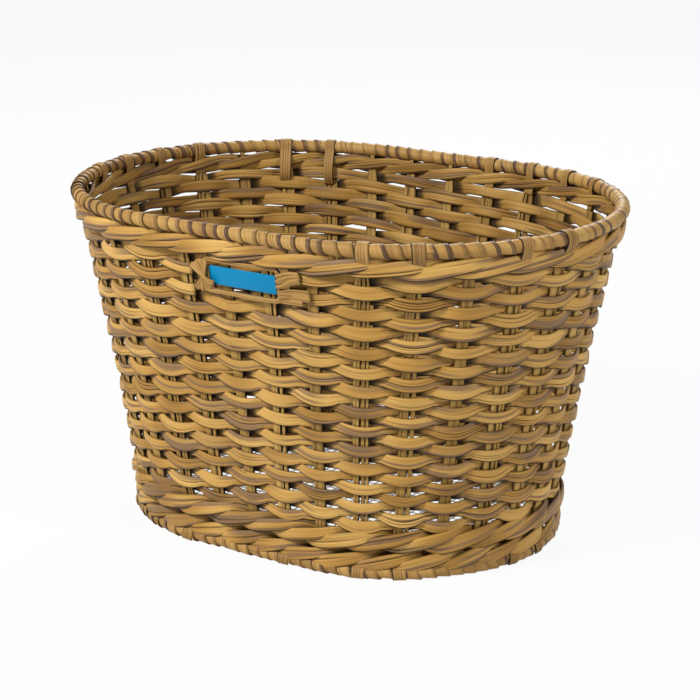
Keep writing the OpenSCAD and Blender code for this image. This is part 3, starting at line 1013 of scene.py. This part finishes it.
# A knot's strips lie highest and closest at its middle, each less high than the last, and fall and spread to
# this far from it.
TIE_REACH = 10 * MM
TIE_LIFT = 4.4 * MM
TIE_LESS = 0.25 * MM
TIE_FALL = 2.2 * MM
TIE_W = 2.6 * MM
TIE_SPREAD = 2.0 * MM
TIE_T = 1.5 * MM
TIE_ROLL = 0.3
TIE_GROOVES = [0.5, 0.0, 0.0]
TIE_TONES = (0.45, 0.65)


def on_label(points):
    """Points given along the front, up the wall and out of it, from the middle of the label plate."""
    low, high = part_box("label_plate")
    axes = np.array([LABEL_ALONG, LABEL_UP, LABEL_OUT])
    return (np.array(low) + np.array(high)) / 2 + (points + LABEL_SHIFT) @ axes


def rounded_box(w, h, r, steps):
    """The outline of a rounded rectangle, counter-clockwise, with its corners in steps."""
    runs = []
    for corner, (x, y) in enumerate(((1, 1), (-1, 1), (-1, -1), (1, -1))):
        angle = np.linspace(0, math.pi / 2, steps + 1) + corner * math.pi / 2
        runs.append(np.stack([x * (w / 2 - r) + r * np.cos(angle), y * (h / 2 - r) + r * np.sin(angle)], -1))
    return np.concatenate(runs)


def label_plate():
    """A plain plate with rounded corners and a soft edge."""
    low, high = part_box("label_plate")
    width = high[0] - low[0]
    levels = [(0.0, -PLATE_T / 2)]
    levels += [(inward * PLATE_BEVEL, PLATE_T / 2 - below * PLATE_BEVEL) for inward, below in BEVEL_EDGE]
    rings = []
    for inward, out in levels:
        corner = PLATE_CORNER - inward
        ring = rounded_box(width - 2 * inward, PLATE_H - 2 * inward, corner, PLATE_CORNER_STEPS)
        rings.append(np.concatenate([ring, np.full((len(ring), 1), out)], -1))
    n = len(rings[0])
    last = len(levels) - 1
    faces = [[i * n + j, i * n + (j + 1) % n, (i + 1) * n + (j + 1) % n, (i + 1) * n + j]
             for i in range(last) for j in range(n)]
    faces.append(list(range(n - 1, -1, -1)))
    faces.append([last * n + j for j in range(n)])
    mesh = bpy.data.meshes.new("plate")
    mesh.from_pydata(on_label(np.concatenate(rings)).tolist(), [], faces)
    mesh.shade_smooth()
    mesh.set_sharp_from_angle(angle=PLATE_SHARP)
    link_piece("plate", mesh, LABEL, "label_plate")


def frame_path():
    """Close points round the label's frame, along the front and up the wall from the plate's middle."""
    low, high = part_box("label_frame")
    height = (high[2] - low[2]) / math.cos(LEAN) - FRAME_LESS
    corners = rounded_box(FRAME_W, height, FRAME_CORNER, FRAME_CORNER_STEPS) + FRAME_PLACE
    points = []
    for a, b in zip(corners, np.roll(corners, -1, 0)):
        steps = max(1, round(np.linalg.norm(b - a) / FRAME_STEP))
        points += [a + (b - a) * i / steps for i in range(steps)]
    return np.array(points)


def label_frame():
    """A strip round the label, bent at its corners."""
    rng = draws(FRAME_SEED)
    path = frame_path()
    n = len(path)
    places = np.arange(n) * STAKES / n
    up = path[:, 1] + wander(rng, places, *FRAME_STRAY["sag"])
    out = FRAME_OUT + wander(rng, places, *FRAME_STRAY["out"])
    centre = on_label(np.stack([path[:, 0], up, out], -1))
    across, face = strip_frame(centre, LABEL_OUT, 0.0, True)
    width = FRAME_STRIP_W + wander(rng, places, *FRAME_STRAY["width"])
    section = cane_section(width, FRAME_STRIP_T, FRAME_GROOVES)
    tone = FRAME_TONE + wander(rng, places, *FRAME_STRAY["tone"])
    piece = Piece("bezel", STRIP, "strip", "label_frame")
    piece.sweep(centre, across, face, section, tone, np.zeros(n), closed=True)
    piece.make()


def label_knot(name, side, strips):
    """Strips gathered round one end of the frame, pinched at its middle and spread beyond it."""
    rng = draws(KNOT_SEED, len(strips))
    x, y = FRAME_PLACE + np.array([side * FRAME_W / 2, 0.0])
    piece = Piece(f"tie_{name}", STRIP, "strip", f"label_knot_{name}")
    for i, corners in enumerate(strips):
        path = rounded_path(np.array(corners) * MM, TIE_STEPS)
        n = len(path)
        away = np.clip(np.linalg.norm(path, axis=-1) / TIE_REACH, 0, 1)
        lift = TIE_LIFT - i * TIE_LESS - TIE_FALL * away**2
        centre = on_label(np.stack([x + path[:, 0], y + path[:, 1], lift], -1))
        roll = rng.uniform(-TIE_ROLL, TIE_ROLL)
        across, face = strip_frame(centre, LABEL_OUT, roll, False)
        width = TIE_W + TIE_SPREAD * away
        section = cane_section(width, TIE_T, rng.permutation(TIE_GROOVES))
        piece.sweep(centre, across, face, section, np.full(n, rng.uniform(*TIE_TONES)), np.zeros(n))
    piece.make()


# Stage

FLOOR_HALF = 6.0
FLOOR_COLOR = (0.8, 0.8, 0.8, 1)
# The share of white in the floor as the camera sees it. The rest keeps the shadow.
FLOOR_WHITE = 0.93
WORLD_LIGHT = 0.12
# Lamps by their place, size and power
LAMPS = {
    "key": ((-0.6, -1.56, 1.5), 0.5, 43),
    "rear": ((-0.7, 1.6, 1.3), 0.5, 20),
    "fill": ((1.7, -0.15, 1.1), 0.4, 14),
}
LAMP_TARGET = Vector((0, 0, 0.1))


def background_rays(tree):
    """A socket that is 1 on rays that show the background, straight, mirrored or let through, and else 0."""
    path = tree.nodes.new("ShaderNodeLightPath")
    seen = math_node(tree, "ADD", path.outputs["Is Camera Ray"], path.outputs["Is Glossy Ray"], True)
    return math_node(tree, "ADD", seen, path.outputs["Is Transmission Ray"], True)


def blend_shaders(tree, share, first, second, output):
    """Sends two shaders to an output, mixed by the second one's share."""
    blend = tree.nodes.new("ShaderNodeMixShader")
    tree.links.new(share, blend.inputs["Fac"])
    tree.links.new(first, blend.inputs[1])
    tree.links.new(second, blend.inputs[2])
    tree.links.new(blend.outputs["Shader"], output.inputs["Surface"])


def floor_material():
    """Nearly white on background rays, with a weak shadow, and light grey on the others."""
    material, shader = new_material("floor")
    tree = material.node_tree
    tree.nodes.remove(shader)
    diffuse = tree.nodes.new("ShaderNodeBsdfDiffuse")
    diffuse.inputs["Color"].default_value = FLOOR_COLOR
    glow = tree.nodes.new("ShaderNodeEmission")
    glow.inputs["Strength"].default_value = 1.0
    share = math_node(tree, "MULTIPLY", background_rays(tree), FLOOR_WHITE)
    output = tree.nodes["Material Output"]
    blend_shaders(tree, share, diffuse.outputs["BSDF"], glow.outputs["Emission"], output)
    return material


def floor():
    mesh = bpy.data.meshes.new("floor")
    corners = [(x * FLOOR_HALF, y * FLOOR_HALF, 0.0) for x, y in ((-1, -1), (1, -1), (1, 1), (-1, 1))]
    mesh.from_pydata(corners, [], [[0, 1, 2, 3]])
    mesh.materials.append(floor_material())
    obj = bpy.data.objects.new("floor", mesh)
    bpy.context.scene.collection.objects.link(obj)


def surroundings():
    """Weak white light from all round, which the background shows at full strength."""
    world = bpy.data.worlds.new("studio")
    world.use_nodes = True
    bpy.context.scene.world = world
    tree = world.node_tree
    soft = tree.nodes["Background"]
    soft.inputs["Color"].default_value = (1, 1, 1, 1)
    soft.inputs["Strength"].default_value = WORLD_LIGHT
    white = tree.nodes.new("ShaderNodeBackground")
    white.inputs["Strength"].default_value = 1.0
    share = background_rays(tree)
    output = tree.nodes["World Output"]
    blend_shaders(tree, share, soft.outputs["Background"], white.outputs["Background"], output)


def lamp(name, place, size, power):
    data = bpy.data.lights.new(name, "AREA")
    data.shape = "SQUARE"
    data.size = size
    data.energy = power
    obj = bpy.data.objects.new(name, data)
    obj.location = place
    obj.rotation_euler = (LAMP_TARGET - Vector(place)).to_track_quat("-Z", "Y").to_euler()
    bpy.context.scene.collection.objects.link(obj)


CAMERA_AZIMUTH = math.radians(33.94)
CAMERA_ELEVATION = math.radians(16.27)
CAMERA_DISTANCE = 1.548
CAMERA_TARGET = Vector((0.0, 0.0, 0.1154))
CAMERA_LENS = 113.0
CAMERA_SENSOR = 36.0
CAMERA_SHIFT = (0.0069, 0.0054)


def camera():
    data = bpy.data.cameras.new("camera")
    data.sensor_width = CAMERA_SENSOR
    data.lens = CAMERA_LENS
    data.shift_x, data.shift_y = CAMERA_SHIFT
    obj = bpy.data.objects.new("camera", data)
    level = math.cos(CAMERA_ELEVATION)
    away = Vector((math.sin(CAMERA_AZIMUTH) * level, -math.cos(CAMERA_AZIMUTH) * level,
                   math.sin(CAMERA_ELEVATION)))
    obj.location = CAMERA_TARGET + CAMERA_DISTANCE * away
    obj.rotation_euler = (-away).to_track_quat("-Z", "Y").to_euler()
    bpy.context.scene.collection.objects.link(obj)
    bpy.context.scene.camera = obj


bpy.context.scene.view_settings.view_transform = "Standard"
camera()
for row in range(1, ROWS + 1):
    for side in range(len(SIDES)):
        weaver(row, side)
for strand in range(len(WALE_STRANDS)):
    for wale in WALES:
        wale_strand(wale, strand)
for quarter in range(len(QUARTERS)):
    stakes(quarter)
    rim_binding(quarter)
base_binding()
rim_lashings()
base_lashings()
long_wires()
cross_wires()
for node in ("rim_wire", "base_wire", "mesh_border"):
    dress(node, STEEL)
label_plate()
label_frame()
label_knot("left", -1, LEFT_TIE)
label_knot("right", 1, RIGHT_TIE)
floor()
surroundings()
for name, (place, size, power) in LAMPS.items():
    lamp(name, place, size, power)
